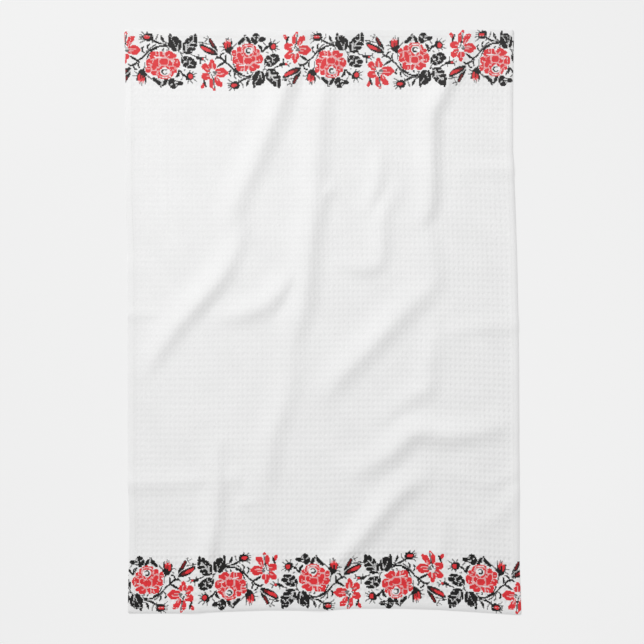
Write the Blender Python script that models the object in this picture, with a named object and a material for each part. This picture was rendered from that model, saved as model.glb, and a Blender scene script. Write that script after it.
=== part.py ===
# Tea towel: one panel of waffle-weave cotton with a turned hem on each of its four sides.
# It lies on a surface with its printed face up and its length along Y, in soft folds
# that run from the upper right to the lower left. Metres, +Z up, origin on the surface
# under the middle of the towel's box.

from collections import namedtuple

import bmesh
import bpy
import numpy as np

MM = 0.001

# Size of the towel as it lies, over its widest and longest places
LYING_WIDTH = 412.9 * MM
LYING_LENGTH = 608.4 * MM

# Cloth and hem
CLOTH_THICKNESS = 1.5 * MM
HEM_THICKNESS = 2.2 * MM
HEM_WIDTH = 7.5 * MM
HEM_STEP = 1.2 * MM
EDGE_ROUNDING = 0.8 * MM

# Size of one cell of the sheet between the hems
CELL = 8.1 * MM

# How far apart the points lie that a fold's crest is followed by
CREST_STEP = 4.0 * MM

# How sharply folds that meet are told apart: higher keeps each one's own height
MEETING_POWER = 4

# How far each edge lies inside the box, in mm: place along the edge, distance inside
Edge = namedtuple("Edge", "place inside")
LEFT_EDGE = (
    Edge(-303, 3.6),
    Edge(-247, 4.7),
    Edge(-211, 5.2),
    Edge(-154, 3.6),
    Edge(75, 3.6),
    Edge(127, 1.5),
    Edge(241, 1.5),
    Edge(303, 0.0),
)
RIGHT_EDGE = (
    Edge(-303, 0.0),
    Edge(-247, 2.0),
    Edge(-185, 2.0),
    Edge(-40, 2.6),
    Edge(23, 3.7),
    Edge(70, 4.7),
    Edge(132, 6.8),
    Edge(179, 8.9),
    Edge(241, 8.9),
    Edge(303, 7.8),
)
BOTTOM_EDGE = (
    Edge(-140, 1.5),
    Edge(-109, 3.1),
    Edge(-60, 4.7),
    Edge(0, 4.4),
    Edge(29, 6.5),
    Edge(80, 6.5),
    Edge(120, 5.2),
    Edge(162, 2.6),
    Edge(200, 0.0),
)
TOP_EDGE = (
    Edge(-200, 0.0),
    Edge(-60, 0.8),
    Edge(60, 0.5),
    Edge(200, 0.0),
)

# The folds, in mm. A crest is followed from its upper or right end to its lower or left
# one, as (x, y, share of the height). The near flank lies on the left or upper side of
# the crest and is the gentle one, the far flank lies on the right or lower side.
Fold = namedtuple("Fold", "name height near_flank far_flank crest")
FOLDS = (
    Fold(
        "left, upper part",
        5.6,
        34,
        24,
        (
            (-22, 304, 0.35),
            (-31, 272, 0.65),
            (-41, 241, 1.0),
            (-63, 183, 0.95),
            (-89, 125, 0.75),
            (-92, 95, 0.35),
        ),
    ),
    Fold(
        "left, lower part",
        5.4,
        33,
        20,
        (
            (-91, 116, 0.3),
            (-88, 86, 0.6),
            (-104, 50, 0.85),
            (-124, 26, 1.0),
            (-150, -3, 0.9),
            (-173, -33, 0.65),
            (-192, -65, 0.0),
        ),
    ),
    Fold(
        "middle",
        6.2,
        34,
        24,
        (
            (22, 304, 0.3),
            (8, 272, 0.45),
            (0, 241, 0.6),
            (-7, 180, 0.75),
            (-9, 127, 0.9),
            (-15, 75, 1.0),
            (-20, 23, 0.9),
            (-32, -23, 0.5),
            (-36, -66, 0.4),
            (-50, -110, 0.65),
            (-59, -154, 0.55),
            (-62, -203, 0.0),
        ),
    ),
    Fold(
        "middle, hook",
        4.0,
        26,
        17,
        (
            (18, 141, 0.0),
            (1, 133, 1.0),
            (-5, 109, 0.8),
            (-9, 80, 0.0),
        ),
    ),
    Fold(
        "middle, branch",
        4.8,
        30,
        22,
        (
            (-17, 68, 0.0),
            (-41, 37, 1.0),
            (-58, 20, 0.8),
            (-82, 10, 0.85),
            (-118, 4, 0.0),
        ),
    ),
    Fold(
        "small, above the curl",
        3.0,
        22,
        18,
        (
            (60, 190, 0.0),
            (57, 157, 1.0),
            (54, 137, 0.95),
            (42, 106, 0.0),
        ),
    ),
    Fold(
        "curl",
        3.2,
        25,
        18,
        (
            (87, 145, 0.0),
            (71, 128, 0.5),
            (62, 108, 0.9),
            (61, 80, 1.0),
            (57, 61, 0.95),
            (40, 57, 0.95),
            (9, 66, 0.0),
        ),
    ),
    Fold(
        "right",
        6.2,
        30,
        19,
        (
            (152, 304, 0.25),
            (138, 268, 0.6),
            (124, 240, 0.8),
            (113, 215, 0.95),
            (112, 179, 1.0),
            (111, 127, 0.95),
            (105, 104, 0.5),
            (101, 85, 0.0),
        ),
    ),
    Fold(
        "right, into the long slant",
        5.0,
        34,
        24,
        (
            (111, 116, 0.0),
            (109, 83, 0.55),
            (115, 49, 0.75),
            (109, 34, 0.65),
            (85, 12, 0.85),
            (50, -25, 1.0),
            (13, -62, 0.75),
            (1, -85, 0.15),
            (4, -102, 0.0),
        ),
    ),
    Fold(
        "short, below the slant",
        3.1,
        25,
        22,
        (
            (117, 12, 0.0),
            (118, -8, 0.4),
            (110, -45, 0.75),
            (108, -67, 1.0),
            (92, -77, 0.9),
            (70, -92, 0.45),
            (61, -111, 0.0),
        ),
    ),
    Fold(
        "lower right",
        6.2,
        30,
        24,
        (
            (196, -100, 0.0),
            (178, -110, 0.55),
            (134, -117, 1.0),
            (96, -115, 0.95),
            (67, -138, 0.8),
            (33, -156, 0.35),
            (23, -164, 0.0),
        ),
    ),
    Fold(
        "bottom slant",
        6.2,
        28,
        24,
        (
            (118, -155, 0.0),
            (99, -164, 0.5),
            (74, -182, 1.0),
            (39, -223, 1.0),
            (16, -248, 0.9),
            (2, -275, 0.4),
            (-6, -304, 0.2),
        ),
    ),
    Fold(
        "bottom left",
        4.6,
        29,
        18,
        (
            (-104, -111, 0.0),
            (-112, -140, 0.55),
            (-109, -166, 1.0),
            (-113, -208, 0.95),
            (-121, -247, 1.0),
            (-128, -279, 0.5),
            (-132, -304, 0.2),
        ),
    ),
    Fold(
        "crease, lower left",
        2.4,
        22,
        20,
        (
            (-76, -160, 0.0),
            (-100, -163, 0.9),
            (-140, -165, 0.8),
            (-170, -167, 1.0),
            (-206, -168, 1.0),
        ),
    ),
    Fold(
        "crease, right",
        1.6,
        22,
        16,
        (
            (205, -3, 0.9),
            (170, -4, 1.0),
            (135, -9, 0.7),
            (118, -3, 0.0),
        ),
    ),
    Fold(
        "crease, upper right",
        1.8,
        18,
        20,
        (
            (205, 160, 1.0),
            (175, 160, 0.9),
            (150, 162, 0.5),
            (137, 161, 0.0),
        ),
    ),
    Fold(
        "crease, left",
        1.1,
        18,
        11,
        (
            (-160, 1, 0.0),
            (-178, 7, 0.9),
            (-205, 7, 1.0),
        ),
    ),
    Fold(
        "small, under the lower right",
        1.3,
        15,
        14,
        (
            (200, -155, 0.6),
            (170, -168, 1.0),
            (140, -158, 0.7),
            (114, -158, 0.0),
        ),
    ),
    Fold(
        "small, at the right edge",
        1.6,
        18,
        22,
        (
            (198, -180, 1.0),
            (188, -196, 1.0),
            (166, -209, 0.5),
            (149, -217, 0.0),
        ),
    ),
    Fold(
        "small, towards the bottom",
        2.2,
        22,
        20,
        (
            (127, -194, 0.0),
            (125, -205, 0.6),
            (124, -225, 1.0),
            (118, -245, 0.75),
            (124, -262, 0.0),
        ),
    ),
    Fold(
        "small, beside the bottom left",
        1.5,
        11,
        13,
        (
            (-50, -179, 0.0),
            (-64, -185, 1.0),
            (-80, -187, 1.0),
            (-92, -188, 0.0),
        ),
    ),
)

TOWEL_COLOUR = (0.88, 0.88, 0.87, 1.0)
TOWEL_ROUGHNESS = 0.9


def clear_scene():
    for thing in list(bpy.data.objects):
        bpy.data.objects.remove(thing, do_unlink=True)


def cloth_material():
    material = bpy.data.materials.new("waffle_cotton")
    material.use_nodes = True
    shader = material.node_tree.nodes["Principled BSDF"]
    shader.inputs["Base Color"].default_value = TOWEL_COLOUR
    shader.inputs["Roughness"].default_value = TOWEL_ROUGHNESS
    shader.inputs["Metallic"].default_value = 0.0
    material.diffuse_color = TOWEL_COLOUR
    return material


def edge_inside(edge, place):
    """How far an edge lies inside the box at these places along it, in metres."""
    rows = np.array(edge) * MM
    return np.interp(place, rows[:, 0], rows[:, 1])


def lines_across(length):
    """Distances of the sheet's lines from one side to the other: a few at each hem,
    then even ones between the hems."""
    hem = np.array([0.0, EDGE_ROUNDING, HEM_WIDTH, HEM_WIDTH + HEM_STEP])
    cells = round((length - 2 * hem[-1]) / CELL)
    middle = np.linspace(hem[-1], length - hem[-1], cells + 1)
    return np.concatenate([hem[:-1], middle, length - hem[:-1][::-1]])


def place_on_surface(across, along):
    """Where a point of the even rectangle lies, once its edges are as uneven as the towel's."""
    half_width, half_length = LYING_WIDTH / 2, LYING_LENGTH / 2
    left = edge_inside(LEFT_EDGE, along) - half_width
    right = half_width - edge_inside(RIGHT_EDGE, along)
    bottom = edge_inside(BOTTOM_EDGE, across) - half_length
    top = half_length - edge_inside(TOP_EDGE, across)
    share_x = (across + half_width) / LYING_WIDTH
    share_y = (along + half_length) / LYING_LENGTH
    return left + share_x * (right - left), bottom + share_y * (top - bottom)


def smooth_crest(crest):
    """Points every few millimetres on a smooth curve through a fold's own points."""
    points = np.array(crest) * (MM, MM, 1)
    ends = 2 * points[0] - points[1], 2 * points[-1] - points[-2]
    points = np.vstack([ends[0], points, ends[1]])
    curve = []
    for before, start, end, after in zip(points, points[1:], points[2:], points[3:]):
        count = max(2, round(np.hypot(*(end - start)[:2]) / CREST_STEP))
        t = np.linspace(0, 1, count, endpoint=False)[:, None]
        curve.append(
            0.5
            * (
                2 * start
                + (end - before) * t
                + (2 * before - 5 * start + 4 * end - after) * t**2
                + (3 * start - before - 3 * end + after) * t**3
            )
        )
    return np.vstack(curve + [points[-2]])


def fold_height(fold, x, y):
    """Height of one fold over each point: a rounded ridge that runs out gently, with its
    own width on each side."""
    crest = smooth_crest(fold.crest)
    start, run = crest[:-1], np.diff(crest, axis=0)
    to_x = x[:, None] - start[:, 0]
    to_y = y[:, None] - start[:, 1]
    along = (to_x * run[:, 0] + to_y * run[:, 1]) / (run[:, :2] ** 2).sum(axis=1)
    along = np.clip(along, 0, 1)
    distance = np.hypot(to_x - along * run[:, 0], to_y - along * run[:, 1])
    nearest = distance.argmin(axis=1)
    rows = np.arange(len(x))
    turn = run[nearest, 0] * to_y[rows, nearest] - run[nearest, 1] * to_x[rows, nearest]
    flank = np.where(turn > 0, fold.far_flank, fold.near_flank) * MM
    share = start[nearest, 2] + along[rows, nearest] * run[nearest, 2]
    out = np.clip(distance[rows, nearest] / flank, 0, 1)
    ridge = (1 - out) ** 3 * (1 + 3 * out)
    return fold.height * MM * np.clip(share, 0, 1) * ridge


def cloth_height(x, y):
    """Height of the underside over the surface: nothing between the folds."""
    heights = [fold_height(fold, x, y) ** MEETING_POWER for fold in FOLDS]
    return sum(heights) ** (1 / MEETING_POWER)


def thickness(inside):
    """Thickness of the cloth at a distance inside the nearest edge."""
    places = (0.0, HEM_WIDTH, HEM_WIDTH + HEM_STEP)
    return np.interp(inside, places, (HEM_THICKNESS, HEM_THICKNESS, CLOTH_THICKNESS))


def make_towel():
    """A grid is laid on the folds, extruded upwards to the cloth's thickness, and its rim rounded."""
    lines_x = lines_across(LYING_WIDTH)
    lines_y = lines_across(LYING_LENGTH)
    across, along = np.meshgrid(lines_x - LYING_WIDTH / 2, lines_y - LYING_LENGTH / 2)
    across, along = across.ravel(), along.ravel()
    inside = np.minimum(
        LYING_WIDTH / 2 - np.abs(across), LYING_LENGTH / 2 - np.abs(along)
    )
    x, y = place_on_surface(across, along)
    under = cloth_height(x, y)
    rim = EDGE_ROUNDING * np.clip(1 - inside / EDGE_ROUNDING, 0, 1)

    sheet = bmesh.new()
    places = zip(x, y, under + rim)
    lower = [sheet.verts.new(place) for place in places]
    row = len(lines_x)
    for line in range(len(lines_y) - 1):
        for cell in range(row - 1):
            corner = line * row + cell
            quad = (corner, corner + 1, corner + row + 1, corner + row)
            sheet.faces.new([lower[index] for index in quad])
    sheet.verts.index_update()
    rise = thickness(inside) - 2 * rim
    lift = sheet.verts.layers.float.new("lift")
    for vert, height in zip(sheet.verts, rise):
        vert[lift] = height

    made = bmesh.ops.extrude_face_region(sheet, geom=sheet.faces[:])
    for thing in made["geom"]:
        if isinstance(thing, bmesh.types.BMVert):
            thing.co.z += thing[lift]
    bmesh.ops.recalc_face_normals(sheet, faces=sheet.faces[:])

    mesh = bpy.data.meshes.new("towel")
    sheet.to_mesh(mesh)
    sheet.free()
    mesh.shade_smooth()
    mesh.set_sharp_from_angle(angle=np.radians(40))
    mesh.materials.append(cloth_material())
    towel = bpy.data.objects.new("towel", mesh)
    bpy.context.scene.collection.objects.link(towel)
    return towel


clear_scene()
make_towel()
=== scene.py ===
# Tea towel of white waffle-weave cotton, lying on a pale floor in soft folds, with a red and
# black cross-stitch style border printed at each end. Sizes are in mm until a mesh is made.
import math

import bmesh
import bpy
import numpy as np
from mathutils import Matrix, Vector


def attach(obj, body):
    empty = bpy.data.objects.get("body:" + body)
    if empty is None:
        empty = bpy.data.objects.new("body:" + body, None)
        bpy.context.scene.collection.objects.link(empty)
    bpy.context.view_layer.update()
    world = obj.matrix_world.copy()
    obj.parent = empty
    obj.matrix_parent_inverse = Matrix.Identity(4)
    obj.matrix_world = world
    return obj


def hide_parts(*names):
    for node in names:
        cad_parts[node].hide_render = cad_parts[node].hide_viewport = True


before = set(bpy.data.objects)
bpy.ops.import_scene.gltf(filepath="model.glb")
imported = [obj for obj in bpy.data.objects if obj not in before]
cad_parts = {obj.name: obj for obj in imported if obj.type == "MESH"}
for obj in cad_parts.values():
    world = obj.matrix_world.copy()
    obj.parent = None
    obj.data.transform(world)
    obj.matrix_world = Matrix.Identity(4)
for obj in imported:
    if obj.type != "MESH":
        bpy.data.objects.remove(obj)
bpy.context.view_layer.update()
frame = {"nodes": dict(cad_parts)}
bpy.ops.object.select_all(action="DESELECT")
mm = 0.001
print("frame loaded:", ", ".join(frame["nodes"]))


towel = {
    "width": 412.9,  # as it lies, over its widest place
    "length": 608.4,
    "flat": (412, 610),  # the cloth before it was laid down in folds
    "cellAcross": 5.1,  # one cell of the waffle weave
    "cellAlong": 6.4,
    "wellDepth": 0.45,  # how deep the middle of a cell lies
    "relief": (0.55, 1.3),  # share of that at the upper left corner, and at the lower right one
    "reliefReach": 330,  # how far those corners are from the middle, across less along
    "plainHem": (7.6, 9.6),  # from an edge: up to here no cells show, and from here on whole ones
    "cornerRounding": 2.4,
    "cornerBulk": (0.9, 9.0, 1.2),  # folded corners are thicker: by how much, how far in, from where
    "pucker": 0.1,  # how much the sewing draws the hem up and down
    "puckerTurns": (0.71, 0.67),  # how fast that comes and goes across and along, radians in a mm
    "puckerBand": (0.9, 2, 7, 9),  # from the edge: where it begins, is full, begins to end, ends
    "crestStep": 4.0,  # from one point of a fold's crest to the next
    "meeting": 4,  # the higher this is, the more do folds that meet keep each one's own height
    "borderZone": 63.24,  # how far the printed squares reach in from each end
    "rimLines": (0.0, 0.2, 0.55),  # the first lines of points inside the printed ends' edges
    "clearOfWeave": (0.8, 1.4),  # least room between the weave's lines and the hems', and the print's
    "underCell": 8.0,  # the underside is plainer
    "mapRows": (0.07, 0.215, 0.845, 0.99),  # on the second map: the lower border, weave, upper border
    "mapUnder": (0.008, 0.058),  # and the underside
    "mapSides": (0.005, 0.995),
}
# across a hem, from its folded edge inwards: distance, height of its face, past its seam
hemFace = (
    (0.0, 2.1), (0.2, 2.14), (0.55, 2.18), (0.93, 2.2), (1.86, 2.2), (2.8, 2.2), (3.7, 2.2),
    (4.7, 2.2), (5.6, 2.18), (6.5, 2.1), (7.4, 2.06), (8.3, 1.94), (9.3, 1.86),
)
besideHem = ((13.0, 1.64), (18.0, 1.5))  # the cloth comes down to its own thickness
# the right and the bottom hem roll down towards their edges: distance, by how much
rightRoll = (
    (0.0, 1.4), (0.2, 1.2), (0.55, 1.03), (0.93, 0.82), (1.86, 0.38), (2.8, 0.14), (3.7, 0.0),
)
bottomRoll = (
    (0.0, 1.7), (0.2, 1.46), (0.55, 1.3), (0.93, 1.12), (1.86, 0.64), (2.8, 0.34), (3.7, 0.14),
    (5.6, 0.0),
)
# the underside: its seam lies in a small groove
hemUnder = (
    (0.0, 0.4), (0.35, 0.2), (1.2, 0.0), (5.7, 0.0), (6.2, 0.24), (6.8, 0.24), (7.1, 0.06),
    (7.4, 0.45), (11.0, 0.0),
)

# how far each edge lies inside the towel's box: place along the edge, distance
leftEdge = (
    (-303, 3.6), (-247, 4.7), (-211, 5.2), (-154, 3.6), (75, 3.6), (127, 1.5), (241, 1.5), (303, 0),
)
rightEdge = (
    (-303, 0), (-247, 2), (-185, 2), (-40, 2.6), (23, 3.7), (70, 4.7), (132, 6.8), (179, 8.9),
    (241, 8.9), (303, 7.8),
)
bottomEdge = (
    (-140, 1.5), (-109, 3.1), (-60, 4.7), (0, 4.4), (29, 6.5), (80, 6.5), (120, 5.2), (162, 2.6),
    (200, 0),
)
topEdge = ((-200, 0), (-60, 0.8), (60, 0.5), (200, 0))


# Each fold's name, height, near flank, far flank and crest. A crest is a run of points from its
# upper or right end: x, y, and the share of the fold's height there. The near flank is on its
# left and upper side, and gentle.
folds = (
    ("left, upper part", 5.6, 34, 24, (
        (-22, 304, 0.35), (-31, 272, 0.65), (-41, 241, 1.0), (-63, 183, 0.95), (-89, 125, 0.75),
        (-92, 95, 0.35),
    )),
    ("left, lower part", 5.4, 33, 20, (
        (-91, 116, 0.3), (-88, 86, 0.6), (-104, 50, 0.85), (-124, 26, 1.0), (-150, -3, 0.9),
        (-173, -33, 0.65), (-192, -65, 0.0),
    )),
    ("middle", 6.2, 34, 24, (
        (22, 304, 0.3), (8, 272, 0.45), (0, 241, 0.6), (-7, 180, 0.75), (-9, 127, 0.9),
        (-15, 75, 1.0), (-20, 23, 0.9), (-32, -23, 0.5), (-36, -66, 0.4), (-50, -110, 0.65),
        (-59, -154, 0.55), (-62, -203, 0.0),
    )),
    ("middle, hook", 4.0, 26, 17, (
        (18, 141, 0.0), (1, 133, 1.0), (-5, 109, 0.8), (-9, 80, 0.0),
    )),
    ("middle, branch", 4.8, 30, 22, (
        (-17, 68, 0.0), (-41, 37, 1.0), (-58, 20, 0.8), (-82, 10, 0.85), (-118, 4, 0.0),
    )),
    ("small, above the curl", 3.0, 22, 18, (
        (60, 190, 0.0), (57, 157, 1.0), (54, 137, 0.95), (42, 106, 0.0),
    )),
    ("curl", 3.2, 25, 18, (
        (87, 145, 0.0), (71, 128, 0.5), (62, 108, 0.9), (61, 80, 1.0), (57, 61, 0.95),
        (40, 57, 0.95), (9, 66, 0.0),
    )),
    ("right", 6.2, 30, 19, (
        (152, 304, 0.25), (138, 268, 0.6), (124, 240, 0.8), (113, 215, 0.95), (112, 179, 1.0),
        (111, 127, 0.95), (105, 104, 0.5), (101, 85, 0.0),
    )),
    ("right, into the long slant", 5.0, 34, 24, (
        (111, 116, 0.0), (109, 83, 0.55), (115, 49, 0.75), (109, 34, 0.65), (85, 12, 0.85),
        (50, -25, 1.0), (13, -62, 0.75), (1, -85, 0.15), (4, -102, 0.0),
    )),
    ("short, below the slant", 3.1, 25, 22, (
        (117, 12, 0.0), (118, -8, 0.4), (110, -45, 0.75), (108, -67, 1.0), (92, -77, 0.9),
        (70, -92, 0.45), (61, -111, 0.0),
    )),
    ("lower right", 6.2, 30, 24, (
        (196, -100, 0.0), (178, -110, 0.55), (134, -117, 1.0), (96, -115, 0.95), (67, -138, 0.8),
        (33, -156, 0.35), (23, -164, 0.0),
    )),
    ("bottom slant", 6.2, 28, 24, (
        (118, -155, 0.0), (99, -164, 0.5), (74, -182, 1.0), (39, -223, 1.0), (16, -248, 0.9),
        (2, -275, 0.4), (-6, -304, 0.2),
    )),
    ("bottom left", 4.6, 29, 18, (
        (-104, -111, 0.0), (-112, -140, 0.55), (-109, -166, 1.0), (-113, -208, 0.95),
        (-121, -247, 1.0), (-128, -279, 0.5), (-132, -304, 0.2),
    )),
    ("crease, lower left", 2.4, 22, 20, (
        (-76, -160, 0.0), (-100, -163, 0.9), (-140, -165, 0.8), (-170, -167, 1.0),
        (-206, -168, 1.0),
    )),
    ("crease, right", 1.6, 22, 16, (
        (205, -3, 0.9), (170, -4, 1.0), (135, -9, 0.7), (118, -3, 0.0),
    )),
    ("crease, upper right", 1.8, 18, 20, (
        (205, 160, 1.0), (175, 160, 0.9), (150, 162, 0.5), (137, 161, 0.0),
    )),
    ("crease, left", 1.1, 18, 11, (
        (-160, 1, 0.0), (-178, 7, 0.9), (-205, 7, 1.0),
    )),
    ("small, under the lower right", 1.3, 15, 14, (
        (200, -155, 0.6), (170, -168, 1.0), (140, -158, 0.7), (114, -158, 0.0),
    )),
    ("small, at the right edge", 1.6, 18, 22, (
        (198, -180, 1.0), (188, -196, 1.0), (166, -209, 0.5), (149, -217, 0.0),
    )),
    ("small, towards the bottom", 2.2, 22, 20, (
        (127, -194, 0.0), (125, -205, 0.6), (124, -225, 1.0), (118, -245, 0.75), (124, -262, 0.0),
    )),
    ("small, beside the bottom left", 1.5, 11, 13, (
        (-50, -179, 0.0), (-64, -185, 1.0), (-80, -187, 1.0), (-92, -188, 0.0),
    )),
)


# what is left of how it was packed, low and narrow: height, flank, points
oldCreases = (
    (0.3, 6.0, ((-165, 240, 0), (-165, 160, 1), (-164, 70, 0))),
    (0.3, 4.5, ((-204, -165, 1), (-150, -164.5, 1), (-96, -164.5, 0))),
    (0.25, 4.5, ((118, -9, 0), (160, -9, 1), (204, -9, 1))),
)


def smoothRun(points, step):  # points about a step apart on a smooth curve through these
    points = np.array(points, float)
    points = np.vstack([2 * points[0] - points[1], points, 2 * points[-1] - points[-2]])
    run = []
    for before, start, end, after in zip(points, points[1:], points[2:], points[3:]):
        count = max(2, round(math.hypot(*(end - start)[:2]) / step))
        t = np.linspace(0, 1, count, endpoint=False)[:, None]
        bend = 2 * before - 5 * start + 4 * end - after
        twist = 3 * start - before - 3 * end + after
        run.append(start + 0.5 * ((end - before) * t + bend * t**2 + twist * t**3))
    return np.vstack(run + [points[-2]])


def fromRun(run, x, y):  # each point's distance from a run, its side, and where on the run
    start, way = run[:-1], np.diff(run, axis=0)
    toX, toY = x[:, None] - start[:, 0], y[:, None] - start[:, 1]
    share = (toX * way[:, 0] + toY * way[:, 1]) / (way[:, :2] ** 2).sum(axis=1)
    share = np.clip(share, 0, 1)
    away = np.hypot(toX - share * way[:, 0], toY - share * way[:, 1])
    near = away.argmin(axis=1)
    rows = np.arange(len(x))
    side = way[near, 0] * toY[rows, near] - way[near, 1] * toX[rows, near]
    return away[rows, near], side, near + share[rows, near]


def ridgeHeight(crest, height, nearFlank, farFlank, x, y):
    run = smoothRun(crest, towel["crestStep"])
    reach = max(nearFlank, farFlank)
    found = np.zeros(len(x))
    low, high = run[:, :2].min(axis=0) - reach, run[:, :2].max(axis=0) + reach
    near = np.flatnonzero((x > low[0]) & (x < high[0]) & (y > low[1]) & (y < high[1]))
    away, side, where = fromRun(run, x[near], y[near])
    share = np.interp(where, np.arange(len(run)), run[:, 2])
    out = np.clip(away / np.where(side > 0, farFlank, nearFlank), 0, 1)
    found[near] = height * np.clip(share, 0, 1) * (1 - out) ** 3 * (1 + 3 * out)
    return found


def foldHeight(x, y):
    power = towel["meeting"]
    heights = [
        ridgeHeight(crest, height, near, far, x, y) ** power
        for _, height, near, far, crest in folds
    ]
    return sum(heights) ** (1 / power)


def creaseHeight(x, y):
    return sum(ridgeHeight(crest, height, flank, flank, x, y) for height, flank, crest in oldCreases)


def tableAt(table, place):  # the value of one of the tables above at each place
    return np.interp(place, *np.array(table, float).T)


def laidDown(across, along):  # from the even rectangle to where the towel's uneven edges put it
    halfWidth, halfLength = towel["width"] / 2, towel["length"] / 2
    rounding = towel["cornerRounding"]
    fromSide, fromEnd = rounding - halfWidth + np.abs(across), rounding - halfLength + np.abs(along)
    corner = (fromSide > 0) & (fromEnd > 0)
    pull = np.ones(len(across))
    longest = np.maximum(fromSide, fromEnd)[corner]
    pull[corner] = longest / np.hypot(fromSide, fromEnd)[corner]
    across = np.where(corner, np.sign(across) * (halfWidth - rounding + fromSide * pull), across)
    along = np.where(corner, np.sign(along) * (halfLength - rounding + fromEnd * pull), along)
    left, right = tableAt(leftEdge, along) - halfWidth, halfWidth - tableAt(rightEdge, along)
    bottom, top = tableAt(bottomEdge, across) - halfLength, halfLength - tableAt(topEdge, across)
    x = left + (across + halfWidth) / towel["width"] * (right - left)
    y = bottom + (along + halfLength) / towel["length"] * (top - bottom)
    return x, y


def fromEdge(across, along):
    return np.minimum(towel["width"] / 2 - np.abs(across), towel["length"] / 2 - np.abs(along))


def waffle(across, along):  # 0 on the raised threads, 1 in the middle of each cell
    overX = np.abs((across / towel["cellAcross"]) % 1 - 0.5) * 2
    overY = np.abs((along / towel["cellAlong"]) % 1 - 0.5) * 2
    inside = fromEdge(across, along)
    return (1 - np.maximum(overX, overY)) * np.interp(inside, towel["plainHem"], (0, 1))


def faceHeight(across, along, x, y):
    halfWidth, halfLength = towel["width"] / 2, towel["length"] / 2
    inside = fromEdge(across, along)
    hem = tableAt(hemFace + besideHem, inside)
    rightDrop = tableAt(rightRoll, halfWidth - across)
    bottomDrop = tableAt(bottomRoll, halfLength + along)
    hem = hem - np.maximum(rightDrop, bottomDrop)
    bulk, reach, rise = towel["cornerBulk"]
    corner = np.hypot(halfWidth - np.abs(across), halfLength - np.abs(along)) / reach
    hem = hem + bulk * np.clip(1 - corner, 0, 1) * np.clip(inside / rise, 0, 1)
    turnAcross, turnAlong = towel["puckerTurns"]
    drawn = np.sin(across * turnAcross) * np.sin(along * turnAlong)
    drawn = drawn * np.interp(inside, towel["puckerBand"], (0, 1, 1, 0))
    reach = towel["reliefReach"]
    relief = np.interp(across - along, (-reach, reach), towel["relief"])
    well = towel["wellDepth"] * relief * waffle(across, along)
    return foldHeight(x, y) + creaseHeight(x, y) + hem + drawn * towel["pucker"] - well


class Sheet:  # the towel's points, each by its place on the flat cloth, and its faces
    def __init__(self):
        self.across, self.along, self.faces = [], [], []

    def points(self, across, along):
        first = sum(len(part) for part in self.across)
        self.across.append(across)
        self.along.append(along)
        return np.arange(first, first + len(across))

    def line(self, columns, along):
        return self.points(columns, np.full(len(columns), along))

    def places(self):
        return np.concatenate(self.across), np.concatenate(self.along)

    def between(self, low, high, atLow=None, atHigh=None):  # faces between two lines of points
        if len(low) == len(high):
            self.faces += np.column_stack([low[:-1], low[1:], high[1:], high[:-1]]).tolist()
            return
        i = j = 0
        while i < len(low) - 1 or j < len(high) - 1:
            if j == len(high) - 1 or (i < len(low) - 1 and atLow[i + 1] <= atHigh[j + 1]):
                self.faces.append([int(low[i]), int(low[i + 1]), int(high[j])])
                i += 1
            else:
                self.faces.append([int(low[i]), int(high[j + 1]), int(high[j])])
                j += 1


def mirrored(inside, middle, half):  # lines at these distances from both edges, and those between
    return np.concatenate([np.array(inside) - half, middle, half - np.array(inside)[::-1]])


def addFace(sheet):  # lines of points across the towel, from its lower end to its upper one
    halfWidth, halfLength = towel["width"] / 2, towel["length"] / 2
    # printed ends: one face for each square of the drawing
    square = border["square"]
    even = np.linspace(-halfWidth, halfWidth, round(towel["width"] / square) + 1)[1:-1]
    printColumns = mirrored(towel["rimLines"], even, halfWidth)
    inward = np.arange(square, towel["borderZone"] + square / 2, square)
    printRows = np.concatenate([towel["rimLines"], inward])
    # between them: four faces for each cell of the weave
    besideHems, besidePrint = towel["clearOfWeave"]
    hemLines = [place for place, _ in hemFace]
    step = towel["cellAcross"] / 2
    reach = int((halfWidth - hemLines[-1] - besideHems) / step)
    bodyColumns = mirrored(hemLines, np.arange(-reach, reach + 1) * step, halfWidth)
    step = towel["cellAlong"] / 2
    reach = int((halfLength - towel["borderZone"] - besidePrint) / step)
    lines = [(along, printColumns) for along in printRows - halfLength]
    lines += [(along, bodyColumns) for along in np.arange(-reach, reach + 1) * step]
    lines += [(along, printColumns) for along in (halfLength - printRows)[::-1]]
    rows = [sheet.line(columns, along) for along, columns in lines]
    for (_, columns), (_, following), low, high in zip(lines, lines[1:], rows, rows[1:]):
        sheet.between(low, high, columns, following)
    return rows


def underLines(half):
    places = [place for place, _ in hemUnder[2:]]
    reach = half - places[-1]
    even = np.linspace(-reach, reach, round(2 * reach / towel["underCell"]) + 1)
    return mirrored(places, even[1:-1], half)


def sidesOf(rows):  # the lower, right, upper and left side of a field of such lines
    return [rows[0], np.array([row[-1] for row in rows]), rows[-1], np.array([row[0] for row in rows])]


def addUnderside(sheet, rows):  # it starts from the face's own rim, so that the sheet is closed
    halfWidth, halfLength = towel["width"] / 2, towel["length"] / 2
    across, along = sheet.places()
    rim = sidesOf(rows)
    ring = np.unique(np.concatenate(rim))
    inside = hemUnder[1][0]
    shrinkX, shrinkY = 1 - inside / halfWidth, 1 - inside / halfLength
    lower = sheet.points(across[ring] * shrinkX, along[ring] * shrinkY)
    lowerOf = dict(zip(ring.tolist(), lower.tolist()))
    columns = underLines(halfWidth)
    under = [sheet.line(columns, along) for along in underLines(halfLength)]
    for low, high in zip(under, under[1:]):
        sheet.between(low, high)
    across, along = sheet.places()
    for outer, inner, places in zip(rim, sidesOf(under), (across, along, across, along)):
        fine = np.array([lowerOf[int(point)] for point in outer])
        sheet.between(outer, fine)
        share = [places[line] / abs(places[line][-1]) for line in (fine, inner)]
        sheet.between(fine, inner, *share)


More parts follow.
